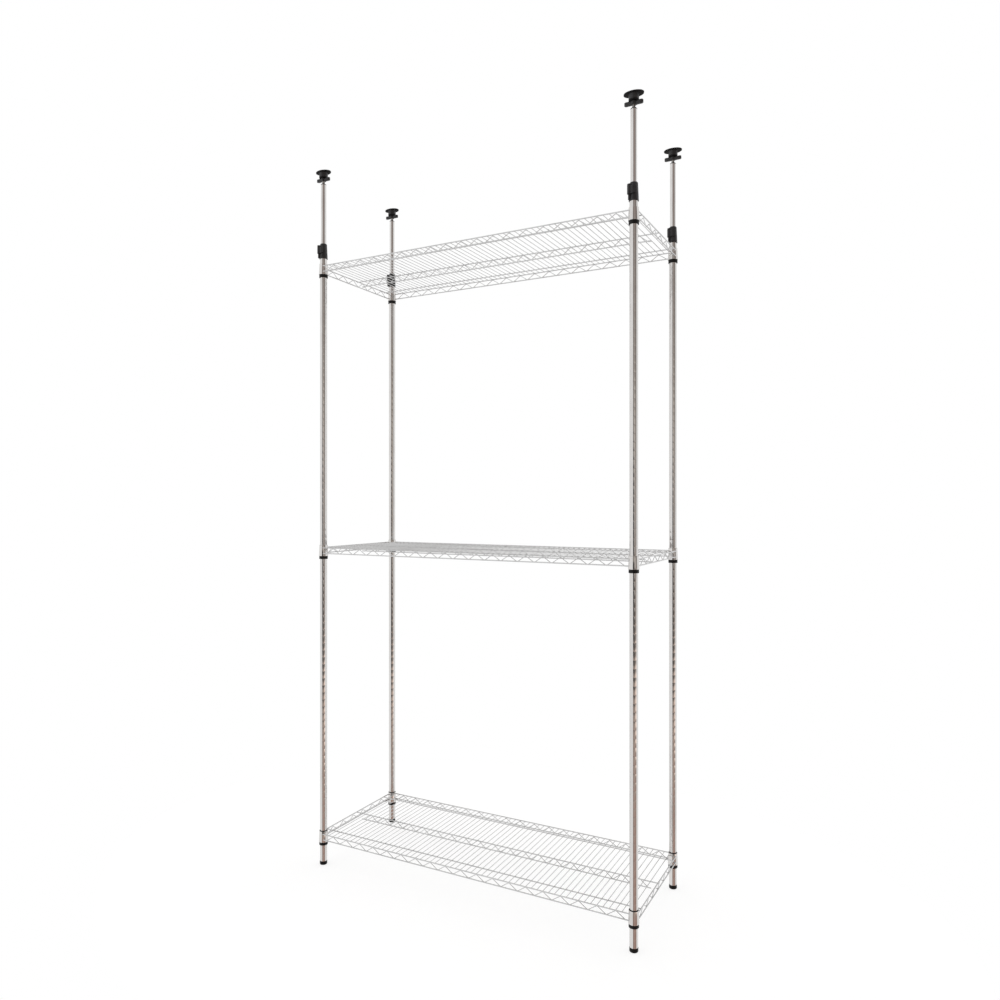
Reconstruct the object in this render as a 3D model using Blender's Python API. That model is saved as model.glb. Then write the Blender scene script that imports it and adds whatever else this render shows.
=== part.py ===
"""Wire shelving unit held between floor and ceiling by four telescoping posts.

Metres, +Z up, origin on the floor at the centre of the four posts, front towards -Y.
Three welded wire shelves sit on tapered sleeves clipped round the posts. A cam clamp on
each post holds a thinner tube, and a hand screw in that tube presses a pad to the ceiling.
"""
import math

import bmesh
import bpy
from mathutils import Vector

# Fits
FIT = 0.0003                  # gap between two pieces that touch
SIDES = 12                    # facets of a turned piece
PIN_SIDES = 8                 # facets of a lever pin and of its holes

# Posts
POST_SPACING_X = 1.168
POST_SPACING_Y = 0.420
POST_RADIUS = 0.0125
POST_WALL = 0.0012

# Feet
FOOT_HEIGHT = 0.0125
FOOT_RADIUS = 0.0131
FOOT_EDGE = 0.0015
FOOT_SPIGOT = 0.020

# Sleeves and the shelf collars that wedge onto them
SHELF_HEIGHTS = {"bottom": 0.082, "middle": 1.1165}
TOP_SHELF_DROP = 0.0695       # from the top of a post to the top shelf's collars
COLLAR_HEIGHT = 0.039
COLLAR_WALL = 0.0011
COLLAR_TAPER = 0.0018         # how much wider a collar is at its foot
SLEEVE_THIN = 0.0005          # sleeve wall at its top
SLEEVE_LIP_HEIGHT = 0.0108
SLEEVE_LIP_WALL = 0.0025
SLEEVE_RIMS = {"bottom": 0.0028, "middle": 0.0004, "top": 0.0004}    # above the collars
SLEEVE_SLIT = 0.0010

# Shelf wires
RAIL_RADIUS = 0.00185
RAIL_INSET = 0.0030           # rail centre inside the collar's outer face
RAIL_TOP_HEIGHT = 0.0297      # above the collar's foot
TRUSS_HEIGHT = 0.0199         # between the two rails of an edge
DECK_RADIUS = 0.0011
DECK_PITCH = 0.0197
DECK_END_GAP = 0.010          # least distance from a post axis to the last deck wire
PITCHES_PER_WAVE = 3          # deck wires to one wave of a zigzag wire
ZIGZAG_RADIUS = 0.0012
UNDERWIRE_INSET = 0.0487      # from the rail to the long wire under the deck
CENTRE_TRUSS_HEIGHT = 0.0204
CENTRE_TAIL = 0.0100          # low wire of the centre truss beyond its last wave

# Telescoping tubes
TUBE_RADIUS = 0.0095
TUBE_WALL = 0.0010
TUBE_TOP = 2.461              # the height the unit is set to; posts and clamps follow it
TUBE_LENGTH = 0.500
TUBE_SHOWN = 0.2140           # above the clamp
BUSH_HEIGHT = 0.012
BUSH_SPIGOT = 0.015

# Clamps
CLAMP_HEIGHT = 0.0545
CLAMP_GRIP = 0.0120           # how far the clamp reaches down the post
CLAMP_SOCKET_WALL = 0.0014    # at the mouth, round the post
CLAMP_FLARE = 0.0006          # extra radius at the very foot
CLAMP_COLLAR_WALL = 0.0024    # round the telescoping tube, at the top
CLAMP_EDGE = 0.0015           # chamfer round the top
LEVER_BEARING = 54.0          # degrees from -X towards -Y
LEVER_RISE = 0.0060           # from the top of a post to the lever's foot
LEVER_HEIGHT = 0.0250
EAR_THICKNESS = 0.0040        # above the lever, and round the pin's foot
EAR_RADIUS = 0.0056
LUG_RADIUS = 0.0032           # the lower ear, a lug on the socket
LUG_FOOT = 0.0015             # from the clamp's foot to the foot of the lug
PIN_RADIUS = 0.0015
CAM_RADIUS = 0.0064
CAM_OFFSET = 0.0006           # cam centre nearer to the tube than its pin
ARM_WALL = 0.0032
ARM_SWEEP = 79.0              # degrees round the clamp

# Hand screws, handles and ceiling pads
NUT_FLANGE_RADIUS = 0.0098
NUT_FLANGE_HEIGHT = 0.0020
NUT_COLLAR_WALL = 0.0010      # round the screw, on top of the flange
NUT_COLLAR_HEIGHT = 0.0029
NUT_SPIGOT = 0.020
SCREW_RADIUS = 0.0050
SCREW_BELOW_NUT = 0.036
SCREW_SHOWN = 0.0087          # between the nut and the handle
SCREW_CHAMFER = 0.0010
HANDLE_LENGTH = 0.0582
HANDLE_WIDTH = 0.0113
HANDLE_HEIGHT = 0.0103
HANDLE_EDGE = 0.0015
HANDLE_HUB_RADIUS = 0.0095
NECK_RADIUS = 0.0154
NECK_HEIGHT = 0.0192
PIVOT_DEPTH = 0.0085          # how far the screw's tip enters the pad
PAD_HALF_LENGTH = 0.0306
PAD_HALF_WIDTH = 0.0196
PAD_THICKNESS = 0.0043
PAD_EDGE = 0.0009

# Worked-out sizes
POST_BORE = POST_RADIUS - POST_WALL
TUBE_BORE = TUBE_RADIUS - TUBE_WALL
CLAMP_TOP = TUBE_TOP - TUBE_SHOWN
CLAMP_BOTTOM = CLAMP_TOP - CLAMP_HEIGHT
POST_TOP = CLAMP_BOTTOM + CLAMP_GRIP
LEVER_BOTTOM = POST_TOP + LEVER_RISE
PIN_BOTTOM = LEVER_BOTTOM - FIT - EAR_THICKNESS
SHELF_HEIGHTS["top"] = POST_TOP - TOP_SHELF_DROP
SLEEVE_BORE = POST_RADIUS + FIT
COLLAR_BORE_TOP = SLEEVE_BORE + SLEEVE_THIN + FIT
COLLAR_BORE_FOOT = COLLAR_BORE_TOP + COLLAR_TAPER
RAIL_OFFSET = COLLAR_BORE_TOP + COLLAR_WALL - RAIL_INSET
RAIL_X = POST_SPACING_X / 2 + RAIL_OFFSET
RAIL_Y = POST_SPACING_Y / 2 + RAIL_OFFSET
RAIL_LOW_HEIGHT = RAIL_TOP_HEIGHT - TRUSS_HEIGHT
DECK_HALF = DECK_RADIUS * math.sqrt(math.pi) / 2      # half side of a square of the wire's area
ZIGZAG_HALF = ZIGZAG_RADIUS * math.sqrt(math.pi) / 2
UNDERWIRE_HEIGHT = RAIL_TOP_HEIGHT - DECK_HALF - FIT - RAIL_RADIUS
WAVE = DECK_PITCH * PITCHES_PER_WAVE
CAM_TO_AXIS = TUBE_RADIUS + FIT + CAM_RADIUS
PIN_TO_AXIS = CAM_TO_AXIS + CAM_OFFSET
CLAMP_COLLAR_RADIUS = TUBE_RADIUS + FIT + CLAMP_COLLAR_WALL
CLAMP_SOCKET_RADIUS = POST_RADIUS + FIT + CLAMP_SOCKET_WALL
NUT_FLANGE_TOP = TUBE_TOP + FIT + NUT_FLANGE_HEIGHT
NUT_TOP = NUT_FLANGE_TOP + NUT_COLLAR_HEIGHT
HANDLE_BOTTOM = NUT_TOP + SCREW_SHOWN
NECK_BOTTOM = HANDLE_BOTTOM + HANDLE_HEIGHT + FIT
PAD_BOTTOM = NECK_BOTTOM + NECK_HEIGHT
PAD_TOP = PAD_BOTTOM + PAD_THICKNESS

CORNERS = {
    "front_left": (-1, -1),
    "front_right": (1, -1),
    "back_left": (-1, 1),
    "back_right": (1, 1),
}


def clear_scene():
    for obj in list(bpy.data.objects):
        bpy.data.objects.remove(obj, do_unlink=True)


def finish(name, colour, roughness, metallic):
    """One Principled material."""
    material = bpy.data.materials.new(name)
    material.use_nodes = True
    shader = material.node_tree.nodes["Principled BSDF"]
    shader.inputs["Base Color"].default_value = (*colour, 1.0)
    shader.inputs["Roughness"].default_value = roughness
    shader.inputs["Metallic"].default_value = metallic
    return material


# Mesh helpers

def to_mesh(bm, name):
    """Close up a bmesh: outward faces, smooth shading with sharp edges kept."""
    bmesh.ops.recalc_face_normals(bm, faces=bm.faces)
    mesh = bpy.data.meshes.new(name)
    bm.to_mesh(mesh)
    bm.free()
    mesh.shade_smooth()
    mesh.set_sharp_from_angle(angle=math.radians(35))
    return mesh


def join_rings(bm, lower, upper):
    """Faces between two rings of vertices, either of which may be a single point."""
    count = max(len(lower), len(upper))
    for i in range(count):
        j = (i + 1) % count
        corners = [lower[i % len(lower)], lower[j % len(lower)],
                   upper[j % len(upper)], upper[i % len(upper)]]
        unique = list(dict.fromkeys(corners))
        if len(unique) > 2:
            bm.faces.new(unique)


def add_loft(bm, rings, closed=False):
    """Add a skin over rings (half x, half y, z) that stand round the Z axis."""
    loops = []
    for half_x, half_y, z in rings:
        if half_x == 0:
            loops.append([bm.verts.new((0, 0, z))])
            continue
        loop = []
        for i in range(SIDES):
            angle = 2 * math.pi * (i + 0.5) / SIDES
            loop.append(bm.verts.new((half_x * math.cos(angle), half_y * math.sin(angle), z)))
        loops.append(loop)
    for lower, upper in zip(loops, loops[1:]):
        join_rings(bm, lower, upper)
    if closed:
        join_rings(bm, loops[-1], loops[0])


def turned(profile, closed=False):
    """A bmesh turned from (radius, z) points; closed joins the last point to the first."""
    bm = bmesh.new()
    add_loft(bm, [(radius, radius, z) for radius, z in profile], closed)
    return bm


def add_prism(bm, outline, bottom, top):
    """Add an upright prism over a plan outline of (x, y) points."""
    low = [bm.verts.new((x, y, bottom)) for x, y in outline]
    high = [bm.verts.new((x, y, top)) for x, y in outline]
    join_rings(bm, low, high)
    bm.faces.new(low[::-1])
    bm.faces.new(high)


def section(direction, half, sides, spin):
    """Offsets of a polygon square to a direction; half is from centre to flat."""
    side = Vector((0, 0, 1)).cross(direction).normalized()
    up = direction.cross(side)
    reach = half / math.cos(math.pi / sides)
    angles = [spin + 2 * math.pi * i / sides for i in range(sides)]
    return [reach * (math.cos(a) * side + math.sin(a) * up) for a in angles]


def add_wire(bm, path, half, sides, spin):
    """Add a bar along a path, mitred at each bend, with flat ends."""
    points = [Vector(p) for p in path]
    runs = [(b - a).normalized() for a, b in zip(points, points[1:])]
    offsets = section(runs[0], half, sides, spin)
    rings = [[points[0] + offset for offset in offsets]]
    for i, run in enumerate(runs):
        following = runs[min(i + 1, len(runs) - 1)]
        plane = (run + following).normalized()
        corner = points[i + 1]
        ring = [p + run * ((corner - p).dot(plane) / run.dot(plane)) for p in rings[-1]]
        rings.append(ring)
    loops = [[bm.verts.new(p) for p in ring] for ring in rings]
    for lower, upper in zip(loops, loops[1:]):
        join_rings(bm, lower, upper)
    bm.faces.new(loops[0][::-1])
    bm.faces.new(loops[-1])


def helper_object(bm, name):
    """A hidden cutter or tool body."""
    obj = bpy.data.objects.new(name, to_mesh(bm, name))
    obj.hide_render = True
    obj.display_type = "WIRE"
    bpy.context.collection.objects.link(obj)
    return obj


def combined(base, steps, name):
    """The mesh of a bmesh after boolean steps of (operation, bmesh)."""
    body = helper_object(base, name)
    tools = []
    for operation, tool in steps:
        tools.append(helper_object(tool, name + "_tool"))
        modifier = body.modifiers.new(operation.lower(), "BOOLEAN")
        modifier.operation = operation
        modifier.object = tools[-1]
        modifier.solver = "EXACT"
        modifier.use_self = operation == "UNION"
    graph = bpy.context.evaluated_depsgraph_get()
    mesh = bpy.data.meshes.new_from_object(body.evaluated_get(graph))
    mesh.name = name
    for obj in [body] + tools:
        bpy.data.objects.remove(obj, do_unlink=True)
    mesh.shade_smooth()
    mesh.set_sharp_from_angle(angle=math.radians(35))
    return mesh


def shifted(bm, x, y):
    bmesh.ops.translate(bm, verts=bm.verts, vec=(x, y, 0))
    return bm


def merged(parts):
    """Several bmeshes as one."""
    whole = bmesh.new()
    for part in parts:
        mesh = bpy.data.meshes.new("part")
        part.to_mesh(mesh)
        part.free()
        whole.from_mesh(mesh)
        bpy.data.meshes.remove(mesh)
    return whole


# Posts, feet and sleeves

def foot_mesh():
    """Plug foot: a flange under the post and a spigot inside it."""
    spigot = POST_BORE - FIT
    return to_mesh(turned([
        (0, 0),
        (FOOT_RADIUS - FOOT_EDGE, 0),
        (FOOT_RADIUS, FOOT_EDGE),
        (FOOT_RADIUS, FOOT_HEIGHT),
        (spigot, FOOT_HEIGHT),
        (spigot, FOOT_HEIGHT + FOOT_SPIGOT),
        (0, FOOT_HEIGHT + FOOT_SPIGOT),
    ]), "foot")


def pipe_mesh(radius, bore, bottom, top, name):
    return to_mesh(turned([
        (bore, bottom),
        (radius, bottom),
        (radius, top),
        (bore, top),
    ], closed=True), name)


def sleeve_mesh(rim):
    """Tapered sleeve round a post, slit on the inner side; z 0 is the collar's foot."""
    lip = SLEEVE_BORE + SLEEVE_LIP_WALL
    top = COLLAR_HEIGHT + rim
    foot_radius = COLLAR_BORE_FOOT - FIT
    top_radius = foot_radius - COLLAR_TAPER * top / COLLAR_HEIGHT
    ring = turned([
        (SLEEVE_BORE, -SLEEVE_LIP_HEIGHT),
        (lip, -SLEEVE_LIP_HEIGHT),
        (lip, 0),
        (foot_radius, 0),
        (top_radius, top),
        (SLEEVE_BORE, top),
    ], closed=True)
    slit = bmesh.new()
    reach = foot_radius + COLLAR_WALL
    half = SLEEVE_SLIT / 2
    outline = [(0, -half), (reach, -half), (reach, half), (0, half)]
    add_prism(slit, outline, -SLEEVE_LIP_HEIGHT - COLLAR_WALL, top + COLLAR_WALL)
    return combined(ring, [("DIFFERENCE", slit)], "sleeve")


# Shelves

def zigzag(first, last, low, high, starts_low):
    """Points (along, height) of a zigzag between two half-wave numbers."""
    points = []
    for i in range(first, last + 1):
        at_low = (i - first) % 2 == 0
        points.append((i * WAVE / 2, low if at_low == starts_low else high))
    return points


def add_rails(bm):
    """The two rails of each edge, from collar to collar."""
    half_x = POST_SPACING_X / 2
    half_y = POST_SPACING_Y / 2
    upright_flats = math.pi / 6
    for height in (RAIL_LOW_HEIGHT, RAIL_TOP_HEIGHT):
        for side in (-1, 1):
            y = side * RAIL_Y
            x = side * RAIL_X
            add_wire(bm, [(-half_x, y, height), (half_x, y, height)], RAIL_RADIUS, 6, upright_flats)
            add_wire(bm, [(x, -half_y, height), (x, half_y, height)], RAIL_RADIUS, 6, upright_flats)


def add_deck(bm):
    """Front-to-back wires between the top rails; the end pair stops in the collars."""
    reach = POST_SPACING_X / 2 - DECK_END_GAP
    count = math.floor(reach / DECK_PITCH)
    collar = COLLAR_BORE_FOOT + COLLAR_WALL - COLLAR_TAPER * RAIL_TOP_HEIGHT / COLLAR_HEIGHT
    collar_flat = collar * math.cos(math.pi / SIDES)
    for i in range(-count, count + 1):
        x = i * DECK_PITCH
        meets_collar = POST_SPACING_X / 2 - abs(x) < collar_flat
        y = POST_SPACING_Y / 2 if meets_collar else RAIL_Y
        path = [(x, -y, RAIL_TOP_HEIGHT), (x, y, RAIL_TOP_HEIGHT)]
        add_wire(bm, path, DECK_HALF, 4, math.pi / 4)


def add_underwires(bm):
    """Long wires under the deck: one near each edge, and the centre truss's two."""
    reach = RAIL_X + RAIL_RADIUS
    inset = RAIL_Y - UNDERWIRE_INSET
    for y in (-inset, 0, inset):
        path = [(-reach, y, UNDERWIRE_HEIGHT), (reach, y, UNDERWIRE_HEIGHT)]
        add_wire(bm, path, RAIL_RADIUS, 6, 0)


def add_edge_zigzags(bm):
    """Zigzag wires inside the rails, with tails welded into the collars."""
    clear_of_rail = RAIL_RADIUS + FIT + ZIGZAG_HALF
    collar = COLLAR_BORE_FOOT + COLLAR_WALL
    tail = COLLAR_BORE_TOP / 2
    low = RAIL_LOW_HEIGHT
    high = RAIL_TOP_HEIGHT - DECK_HALF - 2 * ZIGZAG_RADIUS
    half_x = POST_SPACING_X / 2
    half_y = POST_SPACING_Y / 2
    waves_x = math.floor((half_x - collar) / WAVE - 0.5)
    waves_y = math.floor((half_y - collar) / WAVE)
    along_x = zigzag(-2 * waves_x - 1, 2 * waves_x + 1, low, high, True)
    along_y = zigzag(-2 * waves_y, 2 * waves_y, low, high, True)
    along_x = [(-half_x + tail, low)] + along_x + [(half_x - tail, low)]
    along_y = [(-half_y + tail, low)] + along_y + [(half_y - tail, low)]
    for side in (-1, 1):
        y = side * (RAIL_Y - clear_of_rail)
        x = side * (RAIL_X - clear_of_rail)
        add_wire(bm, [(s, y, z) for s, z in along_x], ZIGZAG_HALF, 4, math.pi / 4)
        add_wire(bm, [(x, s, z) for s, z in along_y], ZIGZAG_HALF, 4, math.pi / 4)


def add_centre_truss(bm):
    """Low wire and zigzag below the middle long wire, welded at both ends."""
    collar = COLLAR_BORE_FOOT + COLLAR_WALL
    waves = math.floor((POST_SPACING_X / 2 - collar) / WAVE - 0.5)
    low = UNDERWIRE_HEIGHT - CENTRE_TRUSS_HEIGHT
    end = (waves + 0.5) * WAVE + CENTRE_TAIL
    add_wire(bm, [(-end, 0, low), (end, 0, low)], RAIL_RADIUS, 6, 0)
    beside = RAIL_RADIUS / math.cos(math.pi / 6) + FIT + ZIGZAG_HALF
    path = []
    for x, z in zigzag(-2 * waves - 1, 2 * waves + 1, low, UNDERWIRE_HEIGHT, True):
        weld = z == UNDERWIRE_HEIGHT and abs(x) > (waves - 0.25) * WAVE
        path.append((x, 0 if weld else beside, z))
    inner_end = end - RAIL_RADIUS
    path = [(-inner_end, 0, low)] + path + [(inner_end, 0, low)]
    add_wire(bm, path, ZIGZAG_HALF, 4, math.pi / 4)


def collar_cones(foot, top, below, above):
    """Four cones on the post axes, extended below and above the collar's height."""
    slope = (top - foot) / COLLAR_HEIGHT
    low = (foot - slope * below, -below)
    high = (top + slope * above, COLLAR_HEIGHT + above)
    cones = []
    for side_x, side_y in CORNERS.values():
        cone = turned([(0, low[1]), low, high, (0, high[1])])
        cones.append(shifted(cone, side_x * POST_SPACING_X / 2, side_y * POST_SPACING_Y / 2))
    return merged(cones)


def shelf_mesh():
    """One welded shelf; z 0 is the foot of its collars."""
    wires = bmesh.new()
    add_rails(wires)
    add_deck(wires)
    add_underwires(wires)
    add_edge_zigzags(wires)
    add_centre_truss(wires)
    solid_collars = collar_cones(COLLAR_BORE_FOOT + COLLAR_WALL, COLLAR_BORE_TOP + COLLAR_WALL, 0, 0)
    bores = collar_cones(COLLAR_BORE_FOOT, COLLAR_BORE_TOP, COLLAR_WALL, COLLAR_WALL)
    return combined(wires, [("UNION", solid_collars), ("DIFFERENCE", bores)], "shelf")


# Clamps

def bearing(distance, degrees=LEVER_BEARING):
    """Plan position at a distance from the post axis, on a bearing from -X towards -Y."""
    angle = math.radians(180 + degrees)
    return distance * math.cos(angle), distance * math.sin(angle)


def disc(centre, radius, sides=SIDES):
    """Plan outline of a round piece."""
    points = []
    for i in range(sides):
        angle = 2 * math.pi * (i + 0.5) / sides
        points.append((centre[0] + radius * math.cos(angle), centre[1] + radius * math.sin(angle)))
    return points


def ear_outline(radius):
    """Plan of an ear that holds the lever's pin."""
    outline = []
    facing = math.radians(180 + LEVER_BEARING)
    pin = bearing(PIN_TO_AXIS)
    root = bearing(TUBE_RADIUS)
    for step in range(7):
        angle = facing - math.pi / 2 + math.pi * step / 6
        outline.append((pin[0] + radius * math.cos(angle), pin[1] + radius * math.sin(angle)))
    for turn in (1, -1):
        angle = facing + turn * math.pi / 2
        outline.append((root[0] + radius * math.cos(angle), root[1] + radius * math.sin(angle)))
    return outline


def clamp_mesh():
    """Socket over the post that tapers to a collar, with a lug, an ear and a window for the cam."""
    step = POST_TOP + FIT
    shell = turned([
        (0, CLAMP_BOTTOM),
        (CLAMP_SOCKET_RADIUS + CLAMP_FLARE, CLAMP_BOTTOM),
        (CLAMP_SOCKET_RADIUS, step),
        (CLAMP_COLLAR_RADIUS, CLAMP_TOP - CLAMP_EDGE),
        (CLAMP_COLLAR_RADIUS - CLAMP_EDGE, CLAMP_TOP),
        (0, CLAMP_TOP),
    ])
    past = CLAMP_SOCKET_WALL
    bore = turned([
        (0, CLAMP_BOTTOM - past),
        (POST_RADIUS + FIT, CLAMP_BOTTOM - past),
        (POST_RADIUS + FIT, step),
        (TUBE_RADIUS + FIT, step),
        (TUBE_RADIUS + FIT, CLAMP_TOP + past),
        (0, CLAMP_TOP + past),
    ])
    lever_top = LEVER_BOTTOM + LEVER_HEIGHT
    ears = bmesh.new()
    add_prism(ears, ear_outline(LUG_RADIUS), CLAMP_BOTTOM + LUG_FOOT, LEVER_BOTTOM - FIT)
    add_prism(ears, ear_outline(EAR_RADIUS), lever_top + FIT, lever_top + FIT + EAR_THICKNESS)
    window = bmesh.new()
    swing = CAM_RADIUS + CAM_OFFSET + 2 * FIT
    add_prism(window, disc(bearing(PIN_TO_AXIS), swing), LEVER_BOTTOM - FIT, lever_top + FIT)
    pin_hole = bmesh.new()
    outline = disc(bearing(PIN_TO_AXIS), PIN_RADIUS + FIT, PIN_SIDES)
    add_prism(pin_hole, outline, PIN_BOTTOM - FIT, CLAMP_TOP)
    return combined(shell, [
        ("UNION", ears),
        ("DIFFERENCE", window),
        ("DIFFERENCE", bore),
        ("DIFFERENCE", pin_hole),
    ], "clamp_body")


def lever_mesh():
    """Cam with an arm that wraps the clamp; modelled about its pin."""
    top = LEVER_BOTTOM + LEVER_HEIGHT
    cam = bmesh.new()
    add_prism(cam, disc(bearing(CAM_TO_AXIS), CAM_RADIUS), LEVER_BOTTOM, top)
    inner = CLAMP_SOCKET_RADIUS + 2 * FIT
    outer = inner + ARM_WALL
    steps = 8
    bearings = [LEVER_BEARING + ARM_SWEEP * i / steps for i in range(steps + 1)]
    outline = [bearing(outer, b) for b in bearings[:-1]]
    outline += [bearing((inner + outer) / 2, bearings[-1])]
    outline += [bearing(inner, b) for b in reversed(bearings[:-1])]
    arm = bmesh.new()
    add_prism(arm, outline, LEVER_BOTTOM + FIT, top - FIT)
    pin_hole = bmesh.new()
    outline = disc(bearing(PIN_TO_AXIS), PIN_RADIUS + FIT, PIN_SIDES)
    add_prism(pin_hole, outline, CLAMP_BOTTOM, CLAMP_TOP)
    mesh = combined(cam, [("UNION", arm), ("DIFFERENCE", pin_hole)], "lever")
    pin = bearing(PIN_TO_AXIS)
    for vertex in mesh.vertices:
        vertex.co.x -= pin[0]
        vertex.co.y -= pin[1]
    return mesh


def pin_mesh():
    """Lever pin, from a blind hole in the lower ear to the top of the upper one."""
    bm = bmesh.new()
    top = LEVER_BOTTOM + LEVER_HEIGHT + FIT + EAR_THICKNESS
    add_prism(bm, disc((0, 0), PIN_RADIUS, PIN_SIDES), PIN_BOTTOM, top)
    return to_mesh(bm, "lever_pin")


# Telescoping tube, hand screw and pad

def bush_mesh():
    """Plug in the tube's foot that guides it inside the post."""
    bottom = TUBE_TOP - TUBE_LENGTH - FIT - BUSH_HEIGHT
    spigot = TUBE_BORE - FIT
    return to_mesh(turned([
        (0, bottom),
        (POST_BORE - FIT, bottom),
        (POST_BORE - FIT, bottom + BUSH_HEIGHT),
        (spigot, bottom + BUSH_HEIGHT),
        (spigot, bottom + BUSH_HEIGHT + BUSH_SPIGOT),
        (0, bottom + BUSH_HEIGHT + BUSH_SPIGOT),
    ]), "guide_bush")


def nut_mesh():
    """Flanged nut pressed into the tube's top, with a low collar round the screw."""
    bore = SCREW_RADIUS + FIT
    collar = bore + NUT_COLLAR_WALL
    spigot = TUBE_BORE - FIT
    return to_mesh(turned([
        (bore, TUBE_TOP - NUT_SPIGOT),
        (spigot, TUBE_TOP - NUT_SPIGOT),
        (spigot, TUBE_TOP + FIT),
        (NUT_FLANGE_RADIUS, TUBE_TOP + FIT),
        (NUT_FLANGE_RADIUS, NUT_FLANGE_TOP),
        (collar, NUT_FLANGE_TOP),
        (collar, NUT_TOP),
        (bore, NUT_TOP),
    ], closed=True), "end_nut")


def screw_mesh():
    """Hand screw from below the nut to the pivot in the pad."""
    bottom = TUBE_TOP - NUT_SPIGOT - SCREW_BELOW_NUT
    top = NECK_BOTTOM + PIVOT_DEPTH - FIT
    return to_mesh(turned([
        (0, bottom),
        (SCREW_RADIUS - SCREW_CHAMFER, bottom),
        (SCREW_RADIUS, bottom + SCREW_CHAMFER),
        (SCREW_RADIUS, top),
        (0, top),
    ]), "hand_screw")


def bar_outline(length, width):
    """Plan of a bar along X with round ends."""
    radius = width / 2
    outline = []
    for end, start in ((1, -math.pi / 2), (-1, math.pi / 2)):
        centre = end * (length / 2 - radius)
        for step in range(6):
            angle = start + math.pi * step / 5
            outline.append((centre + radius * math.cos(angle), radius * math.sin(angle)))
    return outline


def handle_mesh():
    """Cross bar with a hub that is fixed on the screw."""
    top = HANDLE_BOTTOM + HANDLE_HEIGHT
    bar = bmesh.new()
    loops = []
    for z, inset in ((HANDLE_BOTTOM, HANDLE_EDGE), (HANDLE_BOTTOM + HANDLE_EDGE, 0),
                     (top - HANDLE_EDGE, 0), (top, HANDLE_EDGE)):
        outline = bar_outline(HANDLE_LENGTH - 2 * inset, HANDLE_WIDTH - 2 * inset)
        loops.append([bar.verts.new((x, y, z)) for x, y in outline])
    for lower, upper in zip(loops, loops[1:]):
        join_rings(bar, lower, upper)
    bar.faces.new(loops[0][::-1])
    bar.faces.new(loops[-1])
    hub = turned([
        (0, HANDLE_BOTTOM + FIT),
        (HANDLE_HUB_RADIUS, HANDLE_BOTTOM + FIT),
        (HANDLE_HUB_RADIUS, top - FIT),
        (0, top - FIT),
    ])
    past = HANDLE_EDGE
    bore = turned([
        (0, HANDLE_BOTTOM - past),
        (SCREW_RADIUS + FIT, HANDLE_BOTTOM - past),
        (SCREW_RADIUS + FIT, top + past),
        (0, top + past),
    ])
    return combined(bar, [("UNION", hub), ("DIFFERENCE", bore)], "handle")


def pad_mesh():
    """Oval ceiling pad with a round neck and a blind hole for the screw's tip."""
    hole = SCREW_RADIUS + FIT
    corner = 1 / math.cos(math.pi / SIDES)      # puts the plate's flats, not its corners, at its half sizes
    length, width = PAD_HALF_LENGTH * corner, PAD_HALF_WIDTH * corner
    bm = bmesh.new()
    add_loft(bm, [
        (0, 0, NECK_BOTTOM + PIVOT_DEPTH),
        (hole, hole, NECK_BOTTOM + PIVOT_DEPTH),
        (hole, hole, NECK_BOTTOM),
        (NECK_RADIUS, NECK_RADIUS, NECK_BOTTOM),
        (NECK_RADIUS, NECK_RADIUS, PAD_BOTTOM),
        (length - PAD_EDGE, width - PAD_EDGE, PAD_BOTTOM),
        (length, width, PAD_BOTTOM + PAD_EDGE),
        (length, width, PAD_TOP - PAD_EDGE),
        (length - PAD_EDGE, width - PAD_EDGE, PAD_TOP),
        (0, 0, PAD_TOP),
    ])
    return to_mesh(bm, "ceiling_pad")


# Assembly

def place(name, mesh, material, location=(0, 0, 0), parent=None):
    """One named piece; copies of it share their mesh."""
    if not mesh.materials:
        mesh.materials.append(material)
    obj = bpy.data.objects.new(name, mesh)
    obj.location = location
    obj.parent = parent
    bpy.context.collection.objects.link(obj)


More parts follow.
